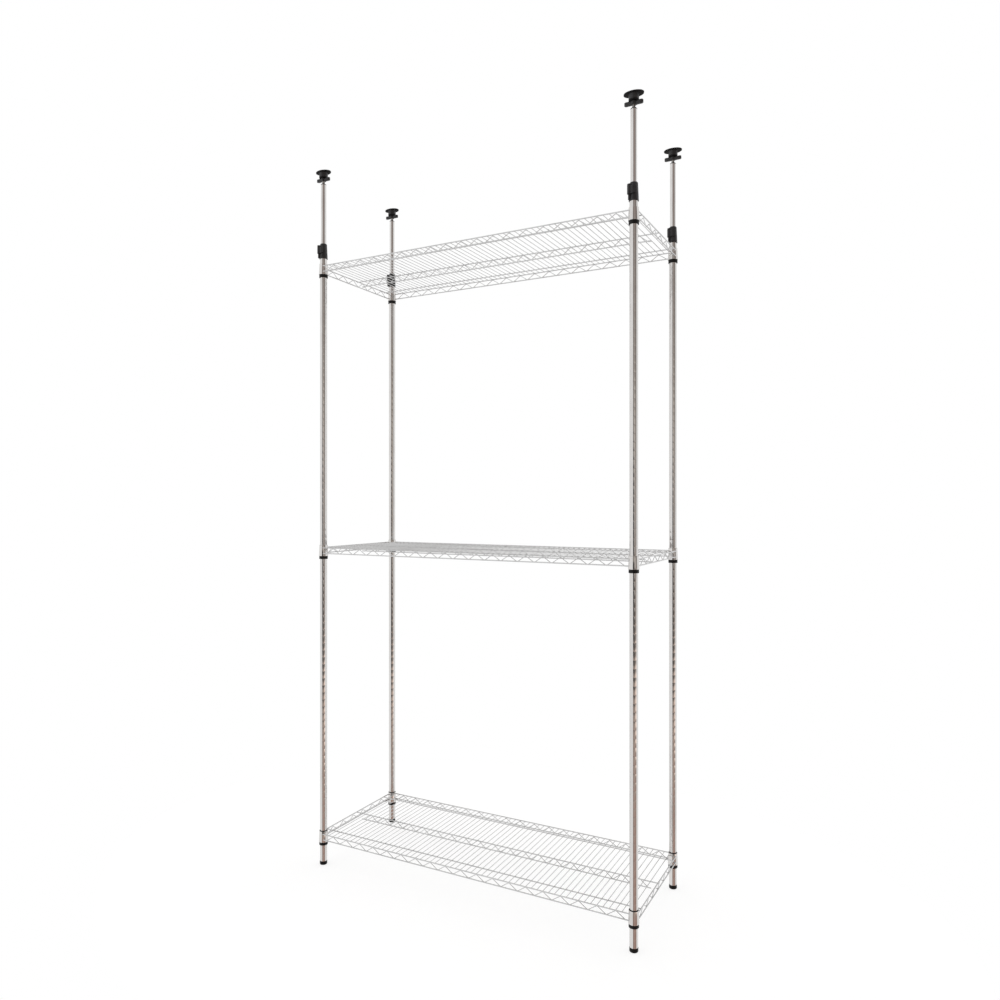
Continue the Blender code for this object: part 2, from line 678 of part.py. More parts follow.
def build():
    clear_scene()
    chrome = finish("chrome_plate", (0.78, 0.77, 0.75), 0.12, 1.0)
    bright_wire = finish("chrome_wire", (0.72, 0.72, 0.72), 0.18, 1.0)
    zinc = finish("zinc_plate", (0.55, 0.54, 0.52), 0.35, 1.0)
    nylon = finish("black_nylon", (0.018, 0.018, 0.018), 0.45, 0.0)
    rubber = finish("black_rubber", (0.012, 0.012, 0.012), 0.70, 0.0)

    tube_bottom = TUBE_TOP - TUBE_LENGTH
    post_pieces = {
        "foot": (foot_mesh(), rubber),
        "post": (pipe_mesh(POST_RADIUS, POST_BORE, FOOT_HEIGHT + FIT, POST_TOP, "post"), chrome),
        "clamp_body": (clamp_mesh(), nylon),
        "inner_tube": (pipe_mesh(TUBE_RADIUS, TUBE_BORE, tube_bottom, TUBE_TOP, "inner_tube"), chrome),
        "guide_bush": (bush_mesh(), nylon),
        "end_nut": (nut_mesh(), zinc),
        "hand_screw": (screw_mesh(), zinc),
        "screw_handle": (handle_mesh(), nylon),
        "ceiling_pad": (pad_mesh(), rubber),
    }
    lever_pieces = {
        "clamp_lever": (lever_mesh(), nylon),
        "lever_pin": (pin_mesh(), zinc),
    }
    sleeves = {level: sleeve_mesh(rim) for level, rim in SLEEVE_RIMS.items()}
    pin = bearing(PIN_TO_AXIS)
    for corner, (side_x, side_y) in CORNERS.items():
        axis = bpy.data.objects.new("axis_" + corner, None)
        axis.location = (side_x * POST_SPACING_X / 2, side_y * POST_SPACING_Y / 2, 0)
        bpy.context.collection.objects.link(axis)
        for piece, (mesh, material) in post_pieces.items():
            place(piece + "_" + corner, mesh, material, parent=axis)
        for piece, (mesh, material) in lever_pieces.items():
            place(piece + "_" + corner, mesh, material, (*pin, 0), axis)
        for level, height in SHELF_HEIGHTS.items():
            place("sleeve_" + level + "_" + corner, sleeves[level], nylon, (0, 0, height), axis)

    shelf = shelf_mesh()
    for level, height in SHELF_HEIGHTS.items():
        place("shelf_" + level, shelf, bright_wire, (0, 0, height))


build()
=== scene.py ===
"""The finished look of a floor-to-ceiling wire shelving unit.

Round welded wires, grooved chrome posts, cam clamps, hand screws and ceiling pads stand in
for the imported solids, with procedural finishes, a white floor and soft studio light.
"""
import math

import bmesh
import bpy
from mathutils import Matrix, Vector


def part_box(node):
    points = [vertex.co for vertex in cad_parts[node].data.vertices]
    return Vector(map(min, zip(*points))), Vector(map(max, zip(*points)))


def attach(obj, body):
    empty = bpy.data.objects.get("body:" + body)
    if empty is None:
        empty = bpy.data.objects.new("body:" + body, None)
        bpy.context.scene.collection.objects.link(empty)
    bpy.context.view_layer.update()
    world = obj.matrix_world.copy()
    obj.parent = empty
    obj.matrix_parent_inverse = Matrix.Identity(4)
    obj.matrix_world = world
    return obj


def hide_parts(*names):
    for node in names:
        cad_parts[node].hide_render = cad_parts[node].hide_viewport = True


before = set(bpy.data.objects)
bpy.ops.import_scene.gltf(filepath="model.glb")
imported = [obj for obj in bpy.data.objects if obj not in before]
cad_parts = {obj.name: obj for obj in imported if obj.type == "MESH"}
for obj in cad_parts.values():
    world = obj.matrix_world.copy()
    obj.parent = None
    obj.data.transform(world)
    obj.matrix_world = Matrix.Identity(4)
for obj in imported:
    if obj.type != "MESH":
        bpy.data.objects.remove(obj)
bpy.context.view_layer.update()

MM = 0.001
CORNERS = ("front_left", "front_right", "back_left", "back_right")
LEVELS = ("bottom", "middle", "top")

# Fineness of turned pieces, wires and edges
TURN_FACETS = 48
PAD_FACETS = 64
DISC_FACETS = 32
SCREW_FACETS = 32
PIN_FACETS = 24
HALF_ROUND_STEPS = 12
GROOVE_STEPS = 8
ARM_STEPS = 20
RAIL_FACETS = 14
WIRE_FACETS = 10
BEND_STEPS = 4
THREAD_STEPS = 28             # points in one turn of a thread
THREAD_FACETS = 4
FILLET_STEPS = 4
FILLET_SHARE = 0.45           # the most that one fillet takes of a straight
SHARP_ANGLE = 40.0
MERGE = 0.001 * MM
SEW = 0.01 * MM
CUT_PAST = 1.0 * MM           # how far a cutting tool passes the face that it cuts

# Posts, tubes and feet
POST_RADIUS = 12.5 * MM
POST_WALL = 1.2 * MM
POST_END = 2.0 * MM           # least plain length at the ends of a post
GROOVE_PITCH = 25.4 * MM
GROOVE_WIDTH = 1.6 * MM
GROOVE_DEPTH = 0.08 * MM
FOOT_RADIUS = 13.1 * MM
FOOT_TREAD = 1.2 * MM         # how far the tread is set in from the side
FOOT_CHAMFER = 1.6 * MM
TUBE_RADIUS = 9.5 * MM
TUBE_WALL = 1.0 * MM
FIT = 0.3 * MM

# Shelf wires; heights are above the foot of a shelf's collars
RAIL_RADIUS = 1.85 * MM
RAIL_OFFSET = 11.7 * MM
RAIL_TOP = 29.7 * MM
RAIL_LOW = 9.8 * MM
DECK_RADIUS = 1.1 * MM
DECK_PITCH = 19.7 * MM
DECK_WIRES = 59
DECK_HEIGHT = 29.7 * MM
UNDERWIRE_Y = 173.0 * MM
UNDERWIRE_HEIGHT = 26.8 * MM
CENTRE_LOW = 6.2 * MM
CENTRE_END = 571.5 * MM
ZIGZAG_RADIUS = 1.2 * MM
ZIGZAG_LOW = 9.3 * MM
ZIGZAG_HIGH = 26.9 * MM
ZIGZAG_BEND = 6.0 * MM
HALF_WAVE = 1.5 * DECK_PITCH
LONG_HALF_WAVES = 38
SHORT_HALF_WAVES = 12
WELD_BITE = 0.3 * MM          # how far one wire sinks into another at a weld

# Collars and sleeves
COLLAR_HEIGHT = 39.0 * MM
COLLAR_FOOT = 16.5 * MM
COLLAR_HEAD = 14.7 * MM
COLLAR_WALL = 1.1 * MM
COLLAR_LIP = 0.4 * MM
SLEEVE_BORE = POST_RADIUS + FIT
SLEEVE_LIP = 15.3 * MM
SLEEVE_SLIT = 1.0 * MM

# Clamps
SOCKET_RADIUS = 14.2 * MM
SOCKET_FLARE = 0.6 * MM
SOCKET_SHOULDER = 4.0 * MM
CLAMP_COLLAR = 12.2 * MM
CLAMP_EDGE = 1.5 * MM
LEVER_BEARING = 54.0          # degrees from -X towards -Y, as the pins stand
EAR_RADIUS = 5.6 * MM
EAR_THICKNESS = 4.0 * MM
EAR_EDGE = 0.6 * MM
LUG_RADIUS = 3.2 * MM
LUG_FOOT = 1.5 * MM
PIN_RADIUS = 1.5 * MM
PIN_HEAD = 2.4 * MM
PIN_HEAD_RISE = 0.7 * MM
CAM_RADIUS = 6.4 * MM
CAM_OFFSET = 0.6 * MM
CAM_EDGE = 0.5 * MM
ARM_INNER = 14.8 * MM
ARM_WALL = 3.2 * MM
ARM_SWEEP = 79.0
ARM_LIP = 1.6 * MM            # how far the tip turns out
ARM_LIP_FROM = 0.75           # share of the sweep where that starts
ARM_THINNING = 0.3            # share of the wall lost towards the tip
ARM_LOWERING = 0.22           # share of the height lost towards the tip
ARM_TIP = 0.55                # share of the wall at the rounded end
ARM_TIP_HEIGHT = ARM_TIP ** 0.3
ARM_EDGE = 0.9 * MM
ARM_EDGE_SHARE = 0.8

# Hand screws and pads
NUT_RADIUS = 9.8 * MM
NUT_FLANGE = 2.0 * MM
NUT_COLLAR = 6.3 * MM
SCREW_RADIUS = 5.0 * MM
THREAD_LEAD = 2.0 * MM
THREAD_DEPTH = 0.6 * MM
HUB_RADIUS = 9.5 * MM
HUB_EDGE = 1.2 * MM
HANDLE_WIDTH = 11.3 * MM
HANDLE_EDGE = 1.8 * MM
NECK_RADIUS = 15.4 * MM
NECK_SHADE_BAND = 3.2 * MM          # height of the painted shade band at the neck's foot, in the pad's darker rubber
PAD_HALF_LENGTH = 30.6 * MM
PAD_HALF_WIDTH = 19.6 * MM
PAD_THICKNESS = 4.3 * MM
PAD_EDGE = 0.9 * MM

# Finishes; ranges are of the noise that drives them
DRAWN_STRETCH = 0.02          # scale of the drawing lines along a piece against across it
PATCH_RANGE = (0.4, 0.75)
POLISH_RANGE = (0.3, 0.7)
WEAR_RANGE = (0.35, 0.7)
DRAWN_RELIEF = 0.02 * MM
GRAIN_RELIEF = 0.05 * MM

# Camera, solved from the straight posts of the photograph
CAMERA_PLACE = (1.304, -2.401, 1.319)
CAMERA_TURN = 27.961
CAMERA_LENS = 27.98
SENSOR = 36.0

# Floor
FLOOR_REACH = (1.5, 1.1)
FLOOR_SEGMENTS = 96
FLOOR_DROP = 0.2 * MM
FLOOR_PAINT = (0.95, 0.95, 0.95, 1)
FLOOR_SEEN = (0.30, 0.30, 0.30, 1)
FLOOR_GLOW = 0.76             # brings the lit floor to white for the camera
WHITE = (1, 1, 1, 1)

# Dim sides of the studio, in degrees; the front one is turned to the right of the camera
FRONT_TURN = 17.0
FRONT_HALF = 47.0
BACK_HALF = 18.0
BACK_COLOUR = (0.42, 0.40, 0.385)
SIDE_EDGE = 4.0
SIDE_FADE = (0.70, 0.92)      # rise at which the sides start to fade and are gone
WALL_RISE = 0.5               # rise, up and down, that the wall colours are spread over
WALL_COLOURS = (              # share of the way up, and colour there
    (0.02, (0.48, 0.33, 0.28)), (0.10, (0.52, 0.37, 0.32)),
    (0.22, (0.51, 0.41, 0.355)), (0.34, (0.35, 0.31, 0.285)),
    (0.50, (0.42, 0.385, 0.36)), (0.62, (0.45, 0.41, 0.375)),
    (0.80, (0.40, 0.355, 0.33)), (0.92, (0.40, 0.34, 0.315)),
)
WALL_BANDS = (                # share of the way across, and shade there
    (0.0, 0.66), (0.13, 0.66), (0.30, 1.0), (0.48, 1.0), (0.66, 0.84), (1.0, 0.84),
)
WALL_PANELS = (               # share across from and to, rise from and to, and shade
    (-0.05, 0.36, -0.215, 0.03, 0.22), (0.36, 0.67, -0.115, 0.13, 1.55),
    (0.36, 0.67, -0.235, -0.125, 0.50), (0.67, 1.00, -0.205, -0.10, 1.50),
    (0.67, 1.00, -0.295, -0.205, 3.20), (0.67, 1.00, 0.04, 0.60, 0.75),
)
PANEL_EDGE_ACROSS = 0.04
PANEL_EDGE_RISE = 0.015


# Node helpers

def put(tree, kind, values=None, **settings):
    """Add a node; values are numbers or sockets by input name."""
    node = tree.nodes.new(kind)
    for key, value in settings.items():
        setattr(node, key, value)
    for key, value in (values or {}).items():
        if isinstance(value, bpy.types.NodeSocket):
            tree.links.new(value, node.inputs[key])
        else:
            node.inputs[key].default_value = value
    return node


def calc(tree, operation, first, second=0.0):
    return put(tree, "ShaderNodeMath", {0: first, 1: second}, operation=operation).outputs[0]


def remap(tree, value, low, high, to_low=0.0, to_high=1.0):
    """Smooth step of a value between two limits."""
    limits = {"Value": value, "From Min": low, "From Max": high, "To Min": to_low,
              "To Max": to_high}
    step = put(tree, "ShaderNodeMapRange", limits, interpolation_type="SMOOTHSTEP")
    return step.outputs["Result"]


def between(tree, value, low, high, edge):
    """1 between two limits and 0 outside them, with soft edges."""
    return calc(tree, "MULTIPLY", remap(tree, value, low - edge, low + edge),
                remap(tree, value, high + edge, high - edge))


def share(tree, value, low, high):
    """How far a value is on its way between two limits."""
    limits = {"Value": value, "From Min": low, "From Max": high}
    return put(tree, "ShaderNodeMapRange", limits).outputs["Result"]


def along(tree, vector, direction):
    dot = put(tree, "ShaderNodeVectorMath", {0: vector, 1: direction}, operation="DOT_PRODUCT")
    return dot.outputs["Value"]


def blend_colours(tree, factor, first, second, mode="MIX"):
    node = put(tree, "ShaderNodeMix", data_type="RGBA", blend_type=mode)
    for index, value in ((0, factor), (6, first), (7, second)):
        if isinstance(value, bpy.types.NodeSocket):
            tree.links.new(value, node.inputs[index])
        else:
            node.inputs[index].default_value = value
    return node.outputs[2]


def stops_ramp(tree, value, stops):
    """Colours along a value, from (place, grey or colour) stops."""
    ramp = put(tree, "ShaderNodeValToRGB", {0: value})
    ramp.color_ramp.interpolation = "EASE"
    steps = ramp.color_ramp.elements
    steps.remove(steps[1])
    for i, (place, shade) in enumerate(stops):
        step = steps[0] if i == 0 else steps.new(place)
        step.position = place
        step.color = (*shade, 1) if isinstance(shade, tuple) else (shade, shade, shade, 1)
    return ramp.outputs["Color"]


def node_group(name, kind, inputs, outputs):
    """A new node tree with named sockets; returns it with its group input and output."""
    tree = bpy.data.node_groups.new(name, kind)
    for label, socket, default in inputs:
        item = tree.interface.new_socket(label, in_out="INPUT", socket_type=socket)
        if default is not None:
            item.default_value = default
    for label, socket in outputs:
        tree.interface.new_socket(label, in_out="OUTPUT", socket_type=socket)
    given = tree.nodes.new("NodeGroupInput").outputs
    result = tree.nodes.new("NodeGroupOutput").inputs
    return tree, given, result


# Geometry trees

def close_wire(tree, curve, radius, facets, finish, result):
    """Sweep a round wire along a curve and hand it out."""
    ring = put(tree, "GeometryNodeCurvePrimitiveCircle", {"Resolution": facets, "Radius": radius})
    swept = put(tree, "GeometryNodeCurveToMesh",
                {"Curve": curve, "Profile Curve": ring.outputs["Curve"], "Fill Caps": True})
    smooth = put(tree, "GeometryNodeSetShadeSmooth", {"Geometry": swept.outputs["Mesh"]})
    whole = put(tree, "GeometryNodeRealizeInstances", {"Geometry": smooth.outputs["Geometry"]})
    painted = put(tree, "GeometryNodeSetMaterial",
                  {"Geometry": whole.outputs["Geometry"], "Material": finish})
    tree.links.new(painted.outputs["Geometry"], result["Geometry"])


def row_of_wires_tree():
    """Straight parallel wires, spaced evenly about the middle."""
    tree, given, result = node_group("row_of_wires", "GeometryNodeTree", [
        ("Wires", "NodeSocketInt", 1), ("Pitch", "NodeSocketVector", None),
        ("Start", "NodeSocketVector", None), ("End", "NodeSocketVector", None),
        ("Radius", "NodeSocketFloat", 0.001), ("Facets", "NodeSocketInt", 8),
        ("Finish", "NodeSocketMaterial", None)], [("Geometry", "NodeSocketGeometry")])
    half = calc(tree, "MULTIPLY", calc(tree, "SUBTRACT", 1.0, given["Wires"]), 0.5)
    first = put(tree, "ShaderNodeVectorMath", {0: given["Pitch"], "Scale": half}, operation="SCALE")
    places = put(tree, "GeometryNodeMeshLine", {
        "Count": given["Wires"], "Start Location": first.outputs[0], "Offset": given["Pitch"]})
    wire = put(tree, "GeometryNodeCurvePrimitiveLine",
               {"Start": given["Start"], "End": given["End"]})
    copies = put(tree, "GeometryNodeInstanceOnPoints",
                 {"Points": places.outputs["Mesh"], "Instance": wire.outputs["Curve"]})
    curves = put(tree, "GeometryNodeRealizeInstances", {"Geometry": copies.outputs["Instances"]})
    close_wire(tree, curves.outputs["Geometry"], given["Radius"], given["Facets"],
               given["Finish"], result)
    return tree


def zigzag_tree():
    """One bent wire along X: low and high bends in turn, with a straight tail at each end."""
    tree, given, result = node_group("zigzag_wire", "GeometryNodeTree", [
        ("Half Waves", "NodeSocketInt", 2), ("Half Wave", "NodeSocketFloat", 0.03),
        ("Low", "NodeSocketFloat", 0.0), ("High", "NodeSocketFloat", 0.02),
        ("Bend", "NodeSocketFloat", 0.005), ("Reach", "NodeSocketFloat", 0.5),
        ("Radius", "NodeSocketFloat", 0.001), ("Facets", "NodeSocketInt", 8),
        ("Finish", "NodeSocketMaterial", None)], [("Geometry", "NodeSocketGeometry")])
    points = calc(tree, "ADD", given["Half Waves"], 3.0)
    row = put(tree, "GeometryNodeMeshLine", {"Count": points})
    index = tree.nodes.new("GeometryNodeInputIndex").outputs["Index"]
    middle = calc(tree, "MULTIPLY", calc(tree, "ADD", given["Half Waves"], 2.0), 0.5)
    from_middle = calc(tree, "SUBTRACT", index, middle)
    at_end = calc(tree, "GREATER_THAN", calc(tree, "ABSOLUTE", from_middle),
                  calc(tree, "SUBTRACT", middle, 0.5))
    is_high = calc(tree, "SUBTRACT", 1.0, calc(tree, "MODULO", index, 2.0))
    rise = calc(tree, "MULTIPLY", is_high, calc(tree, "SUBTRACT", given["High"], given["Low"]))
    bend_z = calc(tree, "ADD", given["Low"], rise)
    bend_x = calc(tree, "MULTIPLY", from_middle, given["Half Wave"])
    end_x = calc(tree, "MULTIPLY", calc(tree, "SIGN", from_middle), given["Reach"])
    x = put(tree, "GeometryNodeSwitch", {"Switch": at_end, "False": bend_x, "True": end_x},
            input_type="FLOAT").outputs[0]
    z = put(tree, "GeometryNodeSwitch", {"Switch": at_end, "False": bend_z, "True": given["Low"]},
            input_type="FLOAT").outputs[0]
    place = put(tree, "ShaderNodeCombineXYZ", {"X": x, "Z": z})
    bent = put(tree, "GeometryNodeSetPosition",
               {"Geometry": row.outputs["Mesh"], "Position": place.outputs[0]})
    curve = put(tree, "GeometryNodeMeshToCurve", {"Mesh": bent.outputs["Geometry"]})
    round_bends = put(tree, "GeometryNodeFilletCurve", {
        "Curve": curve.outputs["Curve"], "Radius": given["Bend"], "Limit Radius": True,
        "Count": BEND_STEPS}, mode="POLY")
    close_wire(tree, round_bends.outputs["Curve"], given["Radius"], given["Facets"],
               given["Finish"], result)
    return tree


def thread_tree():
    """A screw thread: a ridge that climbs round the Z axis."""
    tree, given, result = node_group("screw_thread", "GeometryNodeTree", [
        ("Turns", "NodeSocketFloat", 10.0), ("Length", "NodeSocketFloat", 0.02),
        ("Pitch Radius", "NodeSocketFloat", 0.005), ("Ridge", "NodeSocketFloat", 0.0005),
        ("Finish", "NodeSocketMaterial", None)], [("Geometry", "NodeSocketGeometry")])
    climb = put(tree, "GeometryNodeCurveSpiral", {
        "Resolution": THREAD_STEPS, "Rotations": given["Turns"], "Height": given["Length"],
        "Start Radius": given["Pitch Radius"], "End Radius": given["Pitch Radius"]})
    close_wire(tree, climb.outputs["Curve"], given["Ridge"], THREAD_FACETS, given["Finish"], result)
    return tree


def stack_tree():
    """Copies of one ring of wall, stacked up the Z axis and sewn together."""
    tree, given, result = node_group("stacked_wall", "GeometryNodeTree", [
        ("Ring", "NodeSocketObject", None), ("Rings", "NodeSocketInt", 2),
        ("Pitch", "NodeSocketVector", None), ("First", "NodeSocketVector", None),
        ("Finish", "NodeSocketMaterial", None)], [("Geometry", "NodeSocketGeometry")])
    ring = put(tree, "GeometryNodeObjectInfo", {"Object": given["Ring"]})
    places = put(tree, "GeometryNodeMeshLine", {
        "Count": given["Rings"], "Start Location": given["First"], "Offset": given["Pitch"]})
    copies = put(tree, "GeometryNodeInstanceOnPoints",
                 {"Points": places.outputs["Mesh"], "Instance": ring.outputs["Geometry"]})
    whole = put(tree, "GeometryNodeRealizeInstances", {"Geometry": copies.outputs["Instances"]})
    sewn = put(tree, "GeometryNodeMergeByDistance",
               {"Geometry": whole.outputs["Geometry"], "Distance": SEW})
    smooth = put(tree, "GeometryNodeSetShadeSmooth", {"Geometry": sewn.outputs["Geometry"]})
    painted = put(tree, "GeometryNodeSetMaterial",
                  {"Geometry": smooth.outputs["Geometry"], "Material": given["Finish"]})
    tree.links.new(painted.outputs["Geometry"], result["Geometry"])
    return tree


def grown(tree, values):
    """The plain mesh that a geometry tree makes from named values."""
    carrier = bpy.data.objects.new("carrier", bpy.data.meshes.new("carrier"))
    bpy.context.collection.objects.link(carrier)
    modifier = carrier.modifiers.new("grow", "NODES")
    modifier.node_group = tree
    for item in tree.interface.items_tree:
        if item.item_type == "SOCKET" and item.in_out == "INPUT":
            modifier[item.identifier] = values[item.name]
    graph = bpy.context.evaluated_depsgraph_get()
    mesh = bpy.data.meshes.new_from_object(carrier.evaluated_get(graph))
    carrier.modifiers.remove(modifier)
    bpy.data.objects.remove(carrier, do_unlink=True)
    return mesh


# Mesh helpers

def filleted(profile):
    """Round the corners of (radius, z, fillet) points of a closed profile."""
    points = []
    count = len(profile)
    for i, (r, z, fillet) in enumerate(profile):
        corner = Vector((r, z))
        before = Vector(profile[i - 1][:2]) - corner
        after = Vector(profile[(i + 1) % count][:2]) - corner
        reach = min(fillet, FILLET_SHARE * before.length, FILLET_SHARE * after.length)
        if reach == 0:
            points.append(corner)
            continue
        start = corner + before.normalized() * reach
        end = corner + after.normalized() * reach
        for step in range(FILLET_STEPS + 1):
            t = step / FILLET_STEPS
            points.append(start * (1 - t) ** 2 + corner * 2 * t * (1 - t) + end * t ** 2)
    return points


def sewn_mesh(bm, name):
    """A mesh with its doubles merged and its faces turned outwards."""
    bmesh.ops.remove_doubles(bm, verts=bm.verts, dist=MERGE)
    bmesh.ops.recalc_face_normals(bm, faces=bm.faces)
    mesh = bpy.data.meshes.new(name)
    bm.to_mesh(mesh)
    bm.free()
    return mesh


def smoothed(mesh, finish):
    """Shade a mesh smooth between its sharp edges, in one finish."""
    mesh.shade_smooth()
    mesh.set_sharp_from_angle(angle=math.radians(SHARP_ANGLE))
    mesh.materials.clear()
    mesh.materials.append(finish)
    return mesh


def finished(bm, name, finish):
    return smoothed(sewn_mesh(bm, name), finish)


def bridge(bm, lower, upper):
    """Quads between two closed rows of vertices."""
    count = len(lower)
    for i in range(count):
        j = (i + 1) % count
        bm.faces.new((lower[i], lower[j], upper[j], upper[i]))


def turned_bm(profile, gap=0.0, facets=TURN_FACETS):
    """Turn a closed (radius, z) profile about Z, leaving out an angle facing +X if asked."""
    bm = bmesh.new()
    steps = facets + 1 if gap else facets
    rows = []
    for i in range(steps):
        angle = gap / 2 + (2 * math.pi - gap) * i / facets
        x, y = math.cos(angle), math.sin(angle)
        rows.append([bm.verts.new((p[0] * x, p[0] * y, p[1])) for p in profile])
    for first, second in zip(rows, rows[1:]):
        bridge(bm, first, second)
    if gap:
        bm.faces.new(rows[0])
        bm.faces.new(rows[-1])
    else:
        bridge(bm, rows[-1], rows[0])
    return bm


def turned_wall_bm(profile):
    """Turn an open (radius, z) profile about Z."""
    bm = bmesh.new()
    angles = [2 * math.pi * i / TURN_FACETS for i in range(TURN_FACETS)]
    rows = []
    for r, z in profile:
        rows.append([bm.verts.new((r * math.cos(a), r * math.sin(a), z)) for a in angles])
    for first, second in zip(rows, rows[1:]):
        bridge(bm, first, second)
    return bm


def turned(profile, name, finish, **shape):
    return finished(turned_bm(filleted(profile), **shape), name, finish)


def slab_bm(outline, low, high, edge=0.0):
    """An upright prism over a plan outline, with its long edges softened."""
    bm = bmesh.new()
    bottom = [bm.verts.new((x, y, low)) for x, y in outline]
    top = [bm.verts.new((x, y, high)) for x, y in outline]
    bridge(bm, bottom, top)
    caps = [bm.faces.new(bottom[::-1]), bm.faces.new(top)]
    bmesh.ops.recalc_face_normals(bm, faces=bm.faces)
    if edge:
        rims = list({e for cap in caps for e in cap.edges})
        bmesh.ops.bevel(bm, geom=rims, offset=edge, segments=3, profile=0.5, affect="EDGES",
                        clamp_overlap=True)
    return bm


def joined(name, groups):
    """Several meshes as one; each group is a finish with its meshes."""
    whole = bpy.data.meshes.new(name)
    bm = bmesh.new()
    for index, (finish, meshes) in enumerate(groups):
        whole.materials.append(finish)
        for mesh in meshes:
            mesh.polygons.foreach_set("material_index", [index] * len(mesh.polygons))
            bm.from_mesh(mesh)
            bpy.data.meshes.remove(mesh)
    bm.to_mesh(whole)
    bm.free()
    return whole


def carved(base, steps, name, finish):
    """A bmesh after boolean steps of (operation, bmesh)."""
    blank, *tools = [bpy.data.objects.new("helper", sewn_mesh(bm, "helper"))
                     for bm in (base, *(cutter for _, cutter in steps))]
    for helper in (blank, *tools):
        bpy.context.collection.objects.link(helper)
    for (operation, _), tool in zip(steps, tools):
        modifier = blank.modifiers.new(operation, "BOOLEAN")
        modifier.operation = operation
        modifier.object = tool
        modifier.solver = "EXACT"
    graph = bpy.context.evaluated_depsgraph_get()
    mesh = bpy.data.meshes.new_from_object(blank.evaluated_get(graph))
    for helper in (blank, *tools):
        bpy.data.objects.remove(helper, do_unlink=True)
    mesh.name = name
    return smoothed(mesh, finish)


def show(mesh, name, body, node, shift):
    """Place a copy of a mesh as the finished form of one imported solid."""
    copy = mesh.copy()
    copy.transform(Matrix.Translation(shift))
    piece = bpy.data.objects.new(name, copy)
    bpy.context.collection.objects.link(piece)
    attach(piece, body)
    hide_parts(node)


# Finishes

def handling_marks_group():
    """Fine lengthwise drawing lines and broad wiped patches on plated metal."""
    tree, given, result = node_group("handling_marks", "ShaderNodeTree", [
        ("Line Scale", "NodeSocketFloat", 900.0), ("Patch Scale", "NodeSocketFloat", 14.0),
        ("Patchiness", "NodeSocketFloat", 0.5)], [
        ("Lines", "NodeSocketFloat"), ("Patches", "NodeSocketFloat")])
    place = put(tree, "ShaderNodeTexCoord").outputs["Object"]
    drawn = put(tree, "ShaderNodeMapping", {"Vector": place, "Scale": (1.0, 1.0, DRAWN_STRETCH)})
    lines = put(tree, "ShaderNodeTexNoise", {
        "Vector": drawn.outputs[0], "Scale": given["Line Scale"], "Detail": 3.0, "Roughness": 0.6})
    patches = put(tree, "ShaderNodeTexNoise", {
        "Vector": place, "Scale": given["Patch Scale"], "Detail": 4.0,
        "Roughness": given["Patchiness"]})
    tree.links.new(lines.outputs[0], result["Lines"])
    tree.links.new(patches.outputs[0], result["Patches"])
    return tree


def moulded_grain_group():
    """Spark-eroded grain of moulded plastic and rubber."""
    tree, given, result = node_group("moulded_grain", "ShaderNodeTree", [
        ("Grain Scale", "NodeSocketFloat", 1800.0), ("Wear Scale", "NodeSocketFloat", 60.0)], [
        ("Grain", "NodeSocketFloat"), ("Wear", "NodeSocketFloat")])
    place = put(tree, "ShaderNodeTexCoord").outputs["Object"]
    cells = put(tree, "ShaderNodeTexVoronoi", {"Vector": place, "Scale": given["Grain Scale"]})
    fine = put(tree, "ShaderNodeTexNoise", {
        "Vector": place, "Scale": given["Grain Scale"], "Detail": 2.0, "Roughness": 0.6})
    wear = put(tree, "ShaderNodeTexNoise", {
        "Vector": place, "Scale": given["Wear Scale"], "Detail": 5.0, "Roughness": 0.6})
    grain = calc(tree, "MULTIPLY", cells.outputs["Distance"], fine.outputs[0])
    tree.links.new(grain, result["Grain"])
    tree.links.new(remap(tree, wear.outputs[0], *WEAR_RANGE), result["Wear"])
    return tree


def plated_metal(name, marks, colour, tarnish, roughness, bump, line_scale):
    """Plated steel: colour and gloss vary with drawing lines and wiped patches."""
    material = bpy.data.materials.new(name)
    material.use_nodes = True
    tree = material.node_tree
    shader = tree.nodes["Principled BSDF"]
    shader.inputs["Metallic"].default_value = 1.0
    worn = put(tree, "ShaderNodeGroup", node_tree=marks)
    worn.inputs["Line Scale"].default_value = line_scale
    mix = remap(tree, worn.outputs["Patches"], *PATCH_RANGE)
    paint = blend_colours(tree, mix, (*colour, 1), (*tarnish, 1))
    tree.links.new(paint, shader.inputs["Base Color"])
    both = calc(tree, "ADD", worn.outputs["Lines"], worn.outputs["Patches"])
    both = calc(tree, "MULTIPLY", both, 0.5)
    tree.links.new(remap(tree, both, *POLISH_RANGE, *roughness), shader.inputs["Roughness"])
    relief = put(tree, "ShaderNodeBump", {
        "Strength": bump, "Distance": DRAWN_RELIEF, "Height": worn.outputs["Lines"]})
    tree.links.new(relief.outputs["Normal"], shader.inputs["Normal"])
    return material


def moulding(name, grain, colour, rubbed, roughness, gloss, bump, grain_scale):
    """Black moulded plastic or rubber with a fine grain and rubbed patches."""
    material = bpy.data.materials.new(name)
    material.use_nodes = True
    tree = material.node_tree
    shader = tree.nodes["Principled BSDF"]
    shader.inputs["Specular IOR Level"].default_value = gloss
    surface = put(tree, "ShaderNodeGroup", node_tree=grain)
    surface.inputs["Grain Scale"].default_value = grain_scale
    wear = surface.outputs["Wear"]
    paint = blend_colours(tree, wear, (*colour, 1), (*rubbed, 1))
    tree.links.new(paint, shader.inputs["Base Color"])
    tree.links.new(remap(tree, wear, 0.0, 1.0, *roughness), shader.inputs["Roughness"])
    relief = put(tree, "ShaderNodeBump", {
        "Strength": bump, "Distance": GRAIN_RELIEF, "Height": surface.outputs["Grain"]})
    tree.links.new(relief.outputs["Normal"], shader.inputs["Normal"])
    return material


